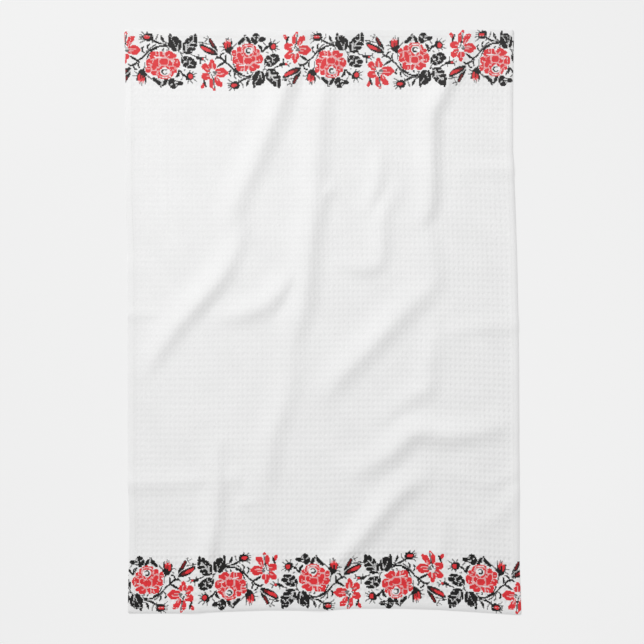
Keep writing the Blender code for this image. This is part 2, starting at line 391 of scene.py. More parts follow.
def closedMesh(name, points, faces):  # points in mm; its faces are turned outwards
    mesh = bpy.data.meshes.new(name)
    mesh.from_pydata(points * mm, [], faces)
    work = bmesh.new()
    work.from_mesh(mesh)
    bmesh.ops.recalc_face_normals(work, faces=work.faces[:])
    work.to_mesh(mesh)
    work.free()
    return mesh


def placed(mesh):
    made = bpy.data.objects.new(mesh.name, mesh)
    bpy.context.scene.collection.objects.link(made)
    return made


def buildTowel():
    sheet = Sheet()
    rows = addFace(sheet)
    faceCount, pointCount = len(sheet.faces), len(sheet.places()[0])
    print("face of the towel:", faceCount, "faces")
    addUnderside(sheet, rows)
    across, along = sheet.places()
    x, y = laidDown(across, along)
    above = np.arange(len(across)) < pointCount
    z = np.zeros(len(across))
    z[above] = faceHeight(across[above], along[above], x[above], y[above])
    under = ~above
    z[under] = foldHeight(x[under], y[under])
    z[under] += tableAt(hemUnder, fromEdge(across[under], along[under]))
    mesh = closedMesh("towel_cloth", np.column_stack([x, y, z]), sheet.faces)
    print("whole towel:", len(mesh.polygons), "faces")
    dressFaces(mesh, across, along, faceCount)
    return placed(mesh)


def dressFaces(mesh, across, along, faceCount):
    corner = np.zeros(len(mesh.loops), int)
    total = np.zeros(len(mesh.polygons), int)
    mesh.loops.foreach_get("vertex_index", corner)
    mesh.polygons.foreach_get("loop_total", total)
    ofFace = np.repeat(np.arange(len(total)), total)
    isUnder = np.arange(len(total)) >= faceCount
    middleAcross = np.bincount(ofFace, across[corner]) / total
    middleAlong = np.bincount(ofFace, along[corner]) / total
    printBorders(mesh, middleAcross, middleAlong, isUnder)
    mesh.shade_smooth()
    mesh.polygons.foreach_set("material_index", isUnder.astype(np.int32))
    mapCloth(mesh, across[corner], along[corner], isUnder[ofFace])
    mesh.update()


def printBorders(mesh, across, along, isUnder):  # the lower one is the upper one turned half round
    fromEnd = towel["length"] / 2 - np.abs(along)
    printed = (fromEnd < towel["borderZone"]) & ~isUnder
    ink = np.zeros(len(across), int)
    for end, turned in (("upper", 1), ("lower", -1)):
        here = printed & (along * turned > 0)
        ink[here] = inkOfBand(across[here], fromEnd[here], strays[end], turned)
    redShare, blackShare = border["dye"][ink].T
    # the white cloth between the motifs has taken a trace of ink too
    trace = border["trace"] * np.interp(fromEnd, border["traceEnds"], (1, 0))
    trace = trace * (printed & (ink == white))
    for name, amount in (("redInk", redShare), ("blackInk", blackShare + trace)):
        share = mesh.attributes.new(name, "FLOAT", "FACE")
        share.data.foreach_set("value", amount.astype(np.float32))
    print("borders printed on", printed.sum(), "squares, red share %.3f, black share %.3f" % (
        (ink[printed] == red).mean(), (ink[printed] == black).mean()))


def mapCloth(mesh, across, along, isUnder):
    flat = mesh.uv_layers.new(name="flatCloth")  # in metres on the flat cloth
    flat.data.foreach_set("uv", np.column_stack([across, along]).ravel() * mm)
    # a second map, which gives the printed ends more room than the rest
    halfWidth, halfLength = towel["width"] / 2, towel["length"] / 2
    ends = halfLength - towel["borderZone"]
    up = np.interp(along, (-halfLength, -ends, ends, halfLength), towel["mapRows"])
    up = np.where(isUnder, np.interp(along, (-halfLength, halfLength), towel["mapUnder"]), up)
    right = np.interp(across, (-halfWidth, halfWidth), towel["mapSides"])
    mesh.uv_layers.new(name="OFBake").data.foreach_set("uv", np.column_stack([right, up]).ravel())


# The border is a row of like units, each turned over against the last. In a unit, x runs to the
# right from near the rose's middle, and y towards the cloth's edge from the band's middle.
border = {
    "pitch": 88.1,  # from one rose to the next
    "firstRose": 10.8,  # the middle unit's place on the upper border, right of the towel's middle
    "units": 4,  # how many there can be on each side of the middle one
    "unitReach": 54,  # how far a unit's motifs reach to each side
    "middle": 31.0,  # from the cloth's edge to the band's middle
    "stretch": (1.03, 1.015),  # the cloth is a little longer each way than the drawing
    "square": 0.93,  # side of one square of the drawing
    "bleed": 0.2,  # how far ink has run past its shape
    "lineBleed": 0.6,  # share of that beside a line
    "line": 0.5,  # half the width of its finest line
    "whisker": 0.46,  # and of a bud's whiskers
    "parting": 0.42,  # width of the white line round each petal and leaf
    "roseWider": (1.06, 1.1),  # than it is drawn: how many times, about which x
    "trace": 0.022,  # ink on the white cloth between the motifs
    "traceEnds": (52, 62),  # from the cloth's edge: where that fades, and where it is gone
    # how much red and how much black each ink lays on a square
    "dye": np.array((
        (0, 0),  # white
        (1, 0),  # red
        (0, 1),  # black
        (0.52, 0),  # pink, where a thin white line runs through red
        (0, 0.82),  # faint, for a thin black line
        (1, 0.75),  # wine, red with black over it
        (0, 0.32),  # vein, where a thin white line runs through black
    )),
}
white, red, black, pink, faint, wine, vein = range(len(border["dye"]))
paler = {red: pink, black: vein}  # where a white line narrower than a square runs
# where each border strays from that even row: place across the towel, how far right, how far up
strays = {
    "upper": (
        (-190, -4.9, -1.2), (-155, -0.3, -1.4), (-120, -0.4, -2.6), (-60, -0.2, -0.9), (0, 0, -0.8),
        (60, 0.2, -0.8), (110, 0.7, -0.5), (140, -0.4, 0.5), (185, -1.8, 1.3),
    ),
    "lower": (
        (-185, 2.3, 0), (-150, 2.2, -0.2), (-115, 1.3, 0.2), (-60, 1.2, 0.2), (-20, 1.2, 0),
        (5, 1.2, -1), (40, 0.8, -2.7), (70, 0.5, -1.7), (100, -0.1, 1.4), (150, 1.1, 0.9),
        (185, 1.8, 0.2),
    ),
}


class Ink:  # the squares of one unit, and what is printed on each
    def __init__(self, x, y):
        self.x, self.y = x, y
        self.colour = np.zeros(len(x), int)

    def stroke(self, points, wide=border["line"], colour=black, ends=(1, 1)):
        run = smoothRun(points, 1.0)
        away, _, where = fromRun(run, self.x, self.y)
        share = where / (len(run) - 1)
        # full width in the middle, and this share of it at each end
        swell = np.where(share < 0.5, ends[0], ends[1])
        swell = swell + (1 - swell) * np.sin(math.pi * share)
        bleed = 0 if colour == white else border["bleed"] * border["lineBleed"]
        self.colour[away < wide * swell + bleed] = colour

    def oval(self, x, y, long, wide, turn=0, colour=red):
        self.blob([(x, y, long, wide, turn)], colour)

    def blob(self, ovals, colour=red, gap=0):  # one shape from ovals that run together
        bleed = 0 if colour == white else border["bleed"]
        inside = np.full(len(self.x), np.inf)
        for x, y, long, wide, *turn in ovals:
            turn = math.radians(turn[0] if turn else 0)
            dx, dy = self.x - x, self.y - y
            along = dx * math.cos(turn) + dy * math.sin(turn)
            across = dy * math.cos(turn) - dx * math.sin(turn)
            out = np.hypot(along / long, across / wide)
            inside = np.minimum(inside, (out - 1) * min(long, wide) - bleed)
        self.partFrom(inside, colour, gap)
        self.colour[inside < 0] = colour

    def partFrom(self, inside, colour, gap):  # a white line round what is about to be painted
        line = inside < gap
        under = self.colour[line]
        pale = paler.get(colour, white)
        self.colour[line] = np.where((under == colour) | (under == pale), pale, white)

    def wider(self, times, about):  # the same squares, for a motif that is drawn narrower than it is
        other = Ink(about + (self.x - about) / times, self.y)
        other.colour = self.colour
        return other

    def whiskers(self, lines):
        for line in lines:
            self.stroke(line, border["whisker"], faint, ends=(0.9, 0.9))


def paintStems(ink):
    ink.stroke([(6.6, 18.6), (3.4, 19.2), (1, 20.2)], 0.5, faint)
    ink.stroke([(5.4, 17.4), (0, 17.6), (-3, 17.4)], 0.5, faint)
    ink.stroke([(5.4, 15.4), (2.4, 16.4)], 0.85)
    ink.stroke([(-5.4, 16.6), (-8, 15.2)], 0.5)
    ink.stroke([
        (5, 15), (0, 15.4), (-4.6, 14.2), (-9, 11.8), (-13, 8.4), (-15.6, 5.6), (-18, 2.8),
        (-21.6, 0.4),
    ], 0.75)
    ink.stroke([(-4.4, 12.8), (-8, 11), (-10.6, 8.4), (-12.4, 4.8), (-13.8, 1), (-15.3, -2)], 0.5)
    ink.stroke([(-15.3, -2), (-15.4, -5.4), (-16, -9)], 0.55, faint)
    ink.stroke([(-8.6, 14.4), (-11, 12.2), (-13.4, 9.8)], 0.5, faint)
    # where they part
    ink.stroke([
        (-21.6, 0.4), (-22.8, -1.2), (-24, -2.8), (-26.6, -4.2), (-29.4, -4.8), (-31.8, -3.4),
    ], 0.95, ends=(0.6, 0.5))
    ink.stroke([(-30.6, -7.4), (-29.2, -5)], 0.9)
    ink.stroke([(-29.6, 4.8), (-26.6, 2.7), (-23.4, 0.9), (-21.6, 0.2)], 1.15, ends=(0.5, 0.4))
    ink.stroke([(-20.6, -0.6), (-21.4, -3.6), (-20.8, -6.8)], 0.8, ends=(0.6, 0.8))
    ink.stroke([(-26.8, -5.4), (-25.4, -8.2), (-22.8, -9)], 0.75, ends=(0.7, 0.6))
    ink.stroke([(-15, -14.6), (-12.6, -16), (-9.6, -19)], 0.6, faint)
    # what curls off them
    ink.stroke([(-16.2, 14.6), (-17.8, 12.4), (-17, 9.8), (-15.4, 8.2)], 0.9, ends=(0.5, 0.4))
    ink.stroke([(-10.8, 17.2), (-12.5, 15.4), (-12.3, 12.4)], 0.62, ends=(0.7, 0.9))
    ink.stroke([(-3.4, 26.8), (-4, 24.2), (-5.2, 22)], 0.5, faint)
    ink.stroke([(-0.2, 25.6), (0.7, 22.8), (2.2, 20.4)], 1.3, ends=(0.4, 0.4))
    ink.stroke([(15.6, 10.4), (17.8, 9), (19.6, 5.2)], 0.5, faint)
    for line in (
        [(17.8, 9), (20.4, 8.2)], [(28.4, 8.2), (31, 6.4), (34, 5.8)],
        [(1.6, 12.6), (0.6, 11), (2, 9.4)],
    ):
        ink.stroke(line, 0.5)
    ink.stroke([(5.6, 13.8), (6.6, 12), (4.6, 11.2)], 0.5, faint)


def paintLeaves(ink):
    gap = border["parting"]
    # above right of the rose, in three parts
    for shape in (
        [(7.9, 22.6, 1.6, 5), (9.4, 17, 3.8, 3.8), (11.6, 13, 3.3, 2.8, -30)],
        [(17.1, 17.4, 2, 4.9), (16.2, 13.6, 1.7, 2.8), (16.2, 21, 1.5, 2.2)],
        [(12.6, 22.8, 3.5, 2.6, -12), (13.8, 20.2, 2.3, 2.9), (14, 17.2, 1.1, 2.4)],
    ):
        ink.blob(shape, black, gap)
    ink.stroke([(15.2, 16.4), (15, 12.6)], 0.42, vein)
    # and beyond that, one with seven
    for shape in (
        [(26.4, 16.4, 3.8, 4.4, -20), (29.6, 21.6, 2.8, 2, 50)],
        [(21.3, 14.6, 1.5, 4.4, 0), (22.8, 18, 1.3, 1.8)],
        [(25.6, 20.9, 4.2, 2.3, 50)],
        [(29.3, 24.2, 3.3, 2.2, 62)],
        [(33.4, 24.2, 1.7, 4.4), (34.1, 20.8, 1.5, 2.7)],
        [(31.2, 17.1, 3.9, 2, -3)],
        [(28.9, 12.9, 4.1, 2.2, 10)],
        [(25.2, 9.6, 4.4, 1.5)],
    ):
        ink.blob(shape, black, gap)
    ink.stroke([(23.4, 10.8), (23.6, 15), (24.2, 18.2)], 0.7, vein)
    ink.stroke([(24.6, 15.2), (27.4, 15.4), (30.6, 15.2)], 0.42, vein)
    ink.stroke([(26, 17), (28.4, 19.4), (30.6, 21.6)], 0.42, vein)
    # right of the rose
    ink.blob([(25.4, 0, 5.8, 4.2)], vein)
    ink.blob([(19.8, 1.2, 1.6, 3.6)], black)
    for leaf in (
        (23.8, 4.1, 3.3, 1.7, 4), (28.7, 2.5, 3.4, 1.8, -28), (23.6, -3.4, 3.3, 2.4, 12),
        (29, -5.2, 4.1, 1.8, 6), (31.5, -1.1, 3.2, 2.4, -8),
    ):
        ink.blob([leaf], black, gap)
    ink.stroke([(21, 2), (24.6, 0.6), (28, -1.4)], 0.5)
    ink.stroke([(25.4, 2.2), (25.8, -2.6)], 0.5)
    ink.stroke([(21.6, 0), (23.4, -0.6)], 0.42, white)
    ink.stroke([(26.9, 1), (26.9, -3)], 0.36, vein)
    # below the rose
    ink.blob([
        (-6.6, -19.2, 2.5, 1.7, -35), (-3.8, -21.8, 3.4, 2, -48), (-1.1, -24.7, 1.5, 2.4),
    ], black, gap)
    ink.blob([(2, -22.3, 3.6, 1.8, 54), (3.6, -19.2, 1.6, 1.4)], black, gap)
    ink.stroke([(0.2, -20.4), (-0.2, -23.4)], 0.5, vein)
    ink.stroke([(-3.8, -18.4), (-2, -19.6)], 0.8, vein)
    ink.blob([
        (9, -22.4, 3.8, 4.2), (10.2, -25.4, 3.2, 3.1), (9.3, -18.8, 1.9, 1.5),
        (12.6, -22.6, 3.2, 3.2),
    ], black, gap)
    ink.blob([(16, -22.3, 3.9, 2.3, -8)], black, gap)
    ink.stroke([(11.6, -21.6), (14, -21.4)], 0.42, white)
    ink.stroke([(7.4, -24.6), (9, -23.4)], 0.42, vein)
    ink.stroke([(12.6, -25.6), (13.8, -23.8)], 0.36, vein)


def paintBuds(ink):
    # above the rose, its whiskers to the left
    ink.whiskers([
        [(-17.6, 29.4), (-15.2, 27.2)], [(-12.6, 30), (-12.4, 28)], [(-19, 26.6), (-15.6, 25.8)],
        [(-19.2, 24.4), (-15.6, 24.2)], [(-19.8, 22), (-18, 22.6), (-15.4, 21.8)],
        [(-18.8, 18.4), (-17, 20), (-14.4, 21)],
    ])
    ink.stroke([(-8.6, 21.8), (-6.4, 20.4), (-3.6, 18.8), (0, 17.8)], 0.95, ends=(1, 0.6))
    ink.stroke([(-8.4, 19), (-7, 20.4)], 0.5, faint)
    ink.blob([(-11.6, 24.3, 4.2, 4), (-9.6, 26.6, 1.6, 1.4), (-14.4, 24.4, 2.4, 2.8)], black)
    ink.oval(-13, 24.4, 2.7, 1.5, -4)
    # below the stem, hanging
    ink.whiskers([
        [(-27, -15.4), (-24.6, -15.8), (-22.6, -14.4)], [(-25.6, -11), (-22.8, -12.8)],
        [(-24, -19.8), (-23, -17.4)], [(-20.4, -23.8), (-19.6, -20.8)],
        [(-18.4, -25), (-18.6, -22.4)], [(-15.2, -23.6), (-15, -19), (-15.2, -16)],
    ])
    ink.blob([
        (-18.6, -11.8, 3.6, 2.6, 35), (-16.6, -10, 1.5, 2.2), (-15.4, -13.4, 2.2, 1.4, -30),
        (-19, -15.4, 3.9, 3),
    ], black)
    ink.stroke([(-22.4, -15.4), (-23, -18.2), (-22.6, -20)], 0.55)
    ink.stroke([(-15.8, -15.4), (-15, -18.4), (-15.2, -20.6)], 0.6)
    ink.blob([(-20.9, -17.2, 1.5, 3.4, -8), (-17.5, -18, 1.5, 2.7, 8), (-19.4, -19.6, 2.2, 1.9)])
    ink.stroke([(-19.3, -13.6), (-19.2, -18)], 0.5)
    ink.stroke([(-17.2, -15.6), (-17.2, -17.4)], 0.45, wine)
    ink.stroke([(-20.6, -20.6), (-20.8, -22.4)], 0.5, pink)
    ink.stroke([(-17.6, -20.8), (-17.4, -22.6)], 0.5, pink)
    # right of the rose
    ink.whiskers([
        [(26.4, -11), (27.4, -9)], [(29.4, -12), (30.8, -10.2)], [(30.6, -13.2), (34.2, -11.4)],
        [(31, -15), (32.8, -15)], [(30.4, -17.4), (34, -19.8)], [(27.4, -18.8), (29.8, -21.8)],
        [(26, -18.8), (24.8, -22.4)], [(19.8, -16.4), (17.8, -19)], [(21, -9), (22.4, -8.4)],
    ])
    ink.stroke([(17, -9.6), (18.8, -12), (20.6, -14), (23.4, -15.2)], 0.8)
    ink.oval(20.6, -13.8, 1.9, 1.3, -30, black)
    ink.blob([(27.2, -14.9, 3.8, 3.9), (24.8, -17.2, 1.9, 1.9)], black)
    ink.oval(27.9, -14.8, 2, 2.4)
    ink.stroke([(15.7, -10), (15.3, -13.4), (12.8, -16.4)], 1.4, ends=(0.5, 0.4))
    ink.stroke([(13, -8.4), (15.4, -8.4)], 0.55)
    # the small one at the end of its own stalk
    ink.whiskers([
        [(36.4, 7.8), (37, 5.4)], [(41.6, 2.6), (43.2, 0.8)], [(44, 3.8), (46, 2.8)],
        [(38.2, 1.8), (38.1, -0.6)],
    ])
    ink.stroke([(41, 4.8), (43.2, 5), (44.3, 6.9)], 0.5)
    ink.blob([(36, 4.3, 2.2, 1.4, -8), (38.2, 3.4, 1, 1.6), (40.2, 3.9, 1.8, 1.6)], black)
    ink.stroke([(38.1, -0.9), (38.1, -1.8)], 0.5)
    ink.oval(40.9, 3.9, 1.1, 1)
    # long ones, still closed
    ink.stroke([(-29.8, -8.8), (-31.6, -13.2), (-34.6, -18.2), (-37, -22.8)], 2.05, ends=(0.25, 0.8))
    ink.stroke([(-33.6, -17), (-35.2, -20), (-36.6, -22.8)], 0.8, wine)
    ink.blob([
        (-38.4, -12.2, 8.4, 3.2, 26), (-43.4, -15.4, 4.6, 2.4, 30), (-32.6, -9, 3.2, 1.5, 20),
    ], black, 0.75)
    ink.oval(-36.6, -11.2, 3.4, 1.3, 24, wine)
    ink.blob([(-41.2, -13.4, 4.6, 1.5, 22), (-44.2, -15.2, 2, 1, 30)])
    ink.stroke([(-47.6, -18.4), (-43, -19.6), (-38.4, -18.8)], 0.5, faint)
    ink.stroke([(-48.4, -20.4), (-44.4, -20.9)], 0.5)
    ink.whiskers([
        [(-42, -21.4), (-40.2, -23.6), (-43.4, -25.6)], [(-40, -24), (-38.6, -25.8), (-40, -27)],
    ])


def paintLily(ink):
    gap = border["parting"]
    for shape in (
        [(-36.4, 22, 2.1, 4), (-35.8, 24.8, 1.2, 1.9), (-36.6, 18.6, 1.4, 2.1)],
        [(-28.2, 22.4, 3.2, 2.7), (-26.4, 24.1, 1.7, 1.3), (-30, 19.6, 2.6, 3.4, -20),
         (-31.4, 16, 1.4, 2.8, -12)],
        [(-25.4, 11, 5, 5), (-21.4, 11.2, 2.6, 2), (-29.6, 9.3, 2.4, 2.5), (-29.4, 13.4, 2, 1.4)],
        [(-36.2, 3.2, 2.6, 3.4), (-33, 4.2, 2.1, 2.9), (-35.3, -0.4, 2.1, 2.6)],
        [(-42.6, 4.5, 3.4, 3.3), (-40.6, 8.3, 2.8, 1.8, 25), (-40.8, 6.4, 2.6, 1.8)],
        [(-43, 14.4, 3.3, 3.6), (-40.2, 16.2, 2.8, 1.4, -12), (-40.4, 12.2, 1.9, 1.6)],
    ):
        ink.blob(shape, red, gap)
    for line in (
        [(-31, 12), (-27.4, 12.4), (-24, 12)], [(-34.8, 6.6), (-34.9, 3.4), (-35.1, 1.4)],
        [(-39, 7.6), (-41.8, 6.2)], [(-37.8, 13.8), (-41, 13.8)], [(-31.2, 15.4), (-29.8, 19)],
        [(-30.4, 9.8), (-26.8, 9.9)],
    ):
        ink.stroke(line, 0.42, pink)
    ink.oval(-33.9, 11.8, 2.7, 3.5, 0, white)
    ink.blob([(-32.6, 10.5, 1.9, 1.3)], faint)
    ink.whiskers([[(-39.2, 11.4), (-37, 10.8)], [(-34, 13.2), (-32, 12.8)], [(-38.6, 7.6), (-37.4, 7)]])
    ink.stroke([(-35.2, 16), (-35, 14.4)], 0.55)
    ink.stroke([(-35.9, 13.6), (-35.8, 12.2)], 0.5)
    ink.stroke([(-34, 16.8), (-33.8, 21), (-32.9, 26.6)], 0.62, faint)
    ink.stroke([(-34.4, 17.8), (-33.6, 17)], 0.6)
    ink.stroke([(-34.8, 27.2), (-33.8, 28.7), (-32.7, 28.6), (-32.6, 27)], 0.62, red, ends=(0.8, 0.8))
    # the small one beside it
    ink.blob([(-45.1, 24.4, 2.6, 1.6, 120), (-44, 22.8, 1.6, 1.8)])
    ink.stroke([(-41.9, 25), (-42.9, 22), (-44.3, 18.4)], 1.05, ends=(0.4, 0.6))


def paintRose(ink):
    gap = border["parting"]
    ink = ink.wider(*border["roseWider"])
    ink.oval(1.1, -4, 14.1, 14.2, 0, white)
    ink.oval(1.1, -3.6, 13, 12, 0, pink)
    # a dense head of petals, the outer ones first
    ink.blob([(-5.4, 7.2, 4.1, 2.6), (-8, 4.6, 2.1, 2.5), (-6.6, 3.2, 2.2, 1.2)], red)
    ink.blob([(6.4, 7.1, 3.5, 3.3), (10.5, 5.8, 2.5, 1.9), (8.3, 4.2, 2.3, 2)], red)
    for shape in (
        [(-0.6, 7.2, 1.4, 2.7), (1.2, 5.6, 1.2, 0.8)],
        [(13, -2.2, 3.2, 4.6), (11.4, 1, 2, 1.7)],
        [(-10.8, -1.8, 2.65, 3.8), (-9.4, 0.4, 1.9, 1.6)],
        [(-11.7, -9.2, 2.3, 3.1), (-10.6, -7.6, 1.6, 1.8)],
        [(-6.4, -12.2, 2.7, 2.9)],
        [(9.2, -8.4, 3.3, 2.7), (11.2, -9.8, 2, 2.1)],
        [(8.6, -13, 1.2, 2.9, -14)],
        [(-5.6, -3.2, 6, 2.3, 73), (-3.4, -4.2, 1.6, 1.7), (-3.2, -9, 1.3, 1.6)],
        [(6.8, -2.3, 2.5, 2.5)],
        [(0.5, -0.6, 2.3, 3.1), (3.1, -0.6, 2.2, 3.1)],
    ):
        ink.blob(shape, red, gap)
    # and the light lines that part them
    for line in ([(-6.6, 4.5), (-3.6, 4), (0, 3.6)], [(8.4, -0.2), (11.2, 0)]):
        ink.stroke(line, 0.5, white)
    for line in (
        [(0, 3.6), (2.8, 3.7), (4.6, 4.6)], [(-2.8, 2.4), (-2.6, -3)],
        [(-2.6, -4), (1, -4.4), (4.4, -4.2)], [(9.6, 1.4), (9.5, -3.6), (8.4, -5.4), (6.4, -5.4)],
        [(7.6, 1.6), (10, 2.6), (11.8, 3)], [(9.6, -5.2), (13, -6.8)],
        [(-9.4, -3.6), (-9.2, -6.6), (-9.4, -10)], [(-9.2, 1.4), (-6.6, 1.8), (-4, 2.8)],
        [(-9, -9.6), (-4.4, -9.4)], [(-3.8, -5.8), (-2.6, -7.4)], [(6.2, -6), (6.6, -9)],
        [(-2, 9.6), (-1.9, 5)], [(2.2, 8), (2.6, 5.2)], [(-11.2, -2.6), (-9.6, -3.2)],
        [(-12.8, -8), (-11, -8.3)], [(5, 5.2), (6.4, 6.4)], [(12.2, -8), (10.4, -7.6)],
        [(-3.6, -10), (-4.6, -13.4)], [(-5, 9.4), (-4.4, 6.6)], [(8, -10.8), (7.4, -14)],
        [(13.2, 0.6), (13, -1.6)],
    ):
        ink.stroke(line, 0.36, pink)
    # the open heart, off the middle
    ink.oval(2.5, -10.7, 4.1, 4.1, 0, white)
    for curl in (
        [(-1.3, -8.2), (-0.4, -6.2), (1.4, -5.2)], [(3.8, -5.4), (5.6, -7.8)],
        [(-2.9, -12.6), (-1, -14.6)], [(-3.6, -15.6), (-1.6, -17.3)],
    ):
        ink.stroke(curl, 0.95, red, ends=(0.6, 0.7))
    for curl in (
        [(-2.6, -9.6), (-2.4, -11.8)], [(-0.6, -15), (2.4, -15.4), (5.6, -15)],
        [(-1, -17.6), (3, -18), (6.6, -16.8)],
    ):
        ink.stroke(curl, 0.45, red)
    ink.stroke([(-1.4, -16.2), (2.6, -16.7), (6.2, -15.8)], 0.4, pink)
    ink.oval(2.2, -11, 2.7, 2.8, 0, faint)
    ink.stroke([(0, -11.4), (1, -9), (3.6, -9.2)], 0.5)
    ink.stroke([(0.8, -12.6), (2.6, -13.4)], 0.45)
    ink.blob([(2.5, -11.2, 1.5, 1.6), (4.6, -10.4, 1.2, 1.4)], white)


def inkOfUnit(x, y):
    ink = Ink(x, y)
    for paint in (paintStems, paintLeaves, paintBuds, paintLily, paintRose):
        paint(ink)
    return ink.colour


def inkOfBand(across, fromEnd, stray, turned):  # what is printed at each place of a border
    colour = np.zeros(len(across), int)
    place, right, up = np.array(stray).T
    across = (across - np.interp(across, place, right)) * turned
    fromEnd = fromEnd + np.interp(across * turned, place, up) * turned
    for unit in range(-border["units"], border["units"] + 1):
        x = (across - border["firstRose"] - unit * border["pitch"]) / border["stretch"][0]
        y = (border["middle"] - fromEnd) / border["stretch"][1] * (-1) ** unit
        near = np.abs(x) < border["unitReach"]
        found = inkOfUnit(x[near], y[near])
        colour[near] = np.where(found > 0, found, colour[near])
    return colour


cloth = buildTowel()


seam = {
    "inside": 6.5,  # from the folded edge
    "stitch": 2.5,  # length of one stitch
    "every": 3.1,
    "thread": 0.42,  # thickness
    "lift": (0.25, 0.55),  # how many threads it lies above the face, and above the underside's folds
    "shade": "#E2E2E1",
    "white": "#F4F4F3",
    "roughness": 0.6,
    "fibres": 1500.0,  # to a metre
}


def buildStitch():  # one stitch, thinner where it goes into the cloth
    half, radius = seam["stitch"] / 2 * mm, seam["thread"] / 2 * mm
    bpy.ops.object.select_all(action="DESELECT")
    bpy.ops.mesh.primitive_cylinder_add(
        vertices=6, radius=radius, depth=half * 1.1, rotation=(0, math.pi / 2, 0))
    stitch = bpy.context.active_object
    bpy.ops.object.transform_apply(location=True, rotation=True, scale=True)
    bpy.ops.object.mode_set(mode="EDIT")
    down = -radius * 0.9
    for way in (-1, 1):
        work = bmesh.from_edit_mesh(stitch.data)
        for face in work.faces:
            face.select_set(face.normal.x * way > 0.9)
        work.select_flush_mode()
        bmesh.update_edit_mesh(stitch.data)
        bpy.ops.mesh.extrude_region_move(
            TRANSFORM_OT_translate={"value": (way * half * 0.45, 0, down)})
        bpy.ops.transform.resize(value=(0.6, 0.45, 0.45), center_override=(way * half, 0, down))
    bpy.ops.object.mode_set(mode="OBJECT")
    return stitch


def seamPlaces():  # middle and direction of each stitch round the towel, on the flat cloth
    halfWidth = towel["width"] / 2 - seam["inside"]
    halfLength = towel["length"] / 2 - seam["inside"]
    places = []
    for corner, way, long in (
        ((-halfWidth, -halfLength), (1, 0), 2 * halfWidth),
        ((halfWidth, -halfLength), (0, 1), 2 * halfLength),
        ((halfWidth, halfLength), (-1, 0), 2 * halfWidth),
        ((-halfWidth, halfLength), (0, -1), 2 * halfLength),
    ):
        count = round(long / seam["every"])
        for number in range(count):
            run = (number + 0.5) * long / count
            places.append((corner[0] + way[0] * run, corner[1] + way[1] * run, *way))
    return np.array(places)


def buildSeam():
    stitch = buildStitch()
    points = np.array([vert.co for vert in stitch.data.vertices]) / mm
    faces = [list(face.vertices) for face in stitch.data.polygons]
    bpy.data.objects.remove(stitch)
    places = seamPlaces()
    half = seam["stitch"] / 2
    liftAbove, liftUnder = seam["lift"]
    allPoints, allFaces = [], []
    for above in (True, False):
        ends = []
        for way in (-half, half):
            across, along = places[:, 0] + way * places[:, 2], places[:, 1] + way * places[:, 3]
            x, y = laidDown(across, along)
            if above:
                z = faceHeight(across, along, x, y) + seam["thread"] * liftAbove
            else:
                z = foldHeight(x, y) + seam["thread"] * liftUnder
            ends.append(np.column_stack([x, y, z]))
        middle, run = (ends[0] + ends[1]) / 2, ends[1] - ends[0]
        run /= np.linalg.norm(run, axis=1)[:, None]
        side = np.cross((0, 0, 1), run)
        side /= np.linalg.norm(side, axis=1)[:, None]
        up = np.cross(run, side) if above else np.cross(side, run)
        side = side if above else -side
        for at, alongIt, acrossIt, upIt in zip(middle, run, side, up):
            first = len(allPoints) * len(points)
            allPoints.append(at + points @ np.array([alongIt, acrossIt, upIt]))
            allFaces += [[first + index for index in face] for face in faces]
    mesh = closedMesh("hem_stitching", np.vstack(allPoints), allFaces)
    mesh.shade_smooth()
    print("hem sewn with", len(allPoints), "stitches")
    return placed(mesh)


stitching = buildSeam()


def linear(colour):  # sRGB hex to the linear values that a node takes
    parts = [int(colour[place:place + 2], 16) / 255 for place in (1, 3, 5)]
    parts = [part / 12.92 if part < 0.04045 else ((part + 0.055) / 1.055) ** 2.4 for part in parts]
    return (*parts, 1)


def addNode(tree, kind, inputs=None, **settings):  # a node among the inputs gives its first output
    node = tree.nodes.new(kind)
    for name, value in settings.items():
        setattr(node, name, value)
    for socket, value in (inputs or {}).items():
        if isinstance(value, bpy.types.Node):
            value = value.outputs[0]
        if isinstance(value, bpy.types.NodeSocket):
            tree.links.new(value, node.inputs[socket])
        else:
            node.inputs[socket].default_value = value
    return node


def newMaterial(name, looks):  # with its node tree, and its shader set to these
    material = bpy.data.materials.new(name)
    material.use_nodes = True
    shader = material.node_tree.nodes["Principled BSDF"]
    for socket, value in looks.items():
        shader.inputs[socket].default_value = value
    return material, material.node_tree, shader


cotton = {
    "white": "#F0F0F0",
    "shade": "#EBEBEB",  # the slight unevenness of bleached cotton
    "patch": 38,  # width of its patches, mm
    "lint": 1.3,  # and of its lint
    "unevenness": (0.75, 1.25),  # sum of the two where the cloth is all shade, and all white
    "red": "#DA4045",
    "redLow": "#DC2E35",  # the lower border's inks are drawn darker than the upper's
    "black": "#2B2A2A",
    "blackLow": "#100F0F",
    "dyeTurn": 60.0,  # how far above and below the middle each border's own dye begins, mm
    "worn": 0.98,  # share of the ink that is left where the lint is thickest
    "wornLint": (0.3, 0.75),  # the lint where wear begins, and where it is full
    "yarn": 0.85,  # from one yarn to the next, mm
    "roughness": 0.9,
    "gloss": 0.2,
    "sheen": 0.04,
    "sheenRoughness": 0.6,
    "yarnBump": 0.06,  # depth, mm
    "ridge": 0.16,  # share of a cell that its raised threads take
    "wellFloor": 0.06,  # how far from a cell's middle it is deepest, share of a cell
    "wellBump": 0.3,  # drawn depth of a cell, on top of what is modelled
}


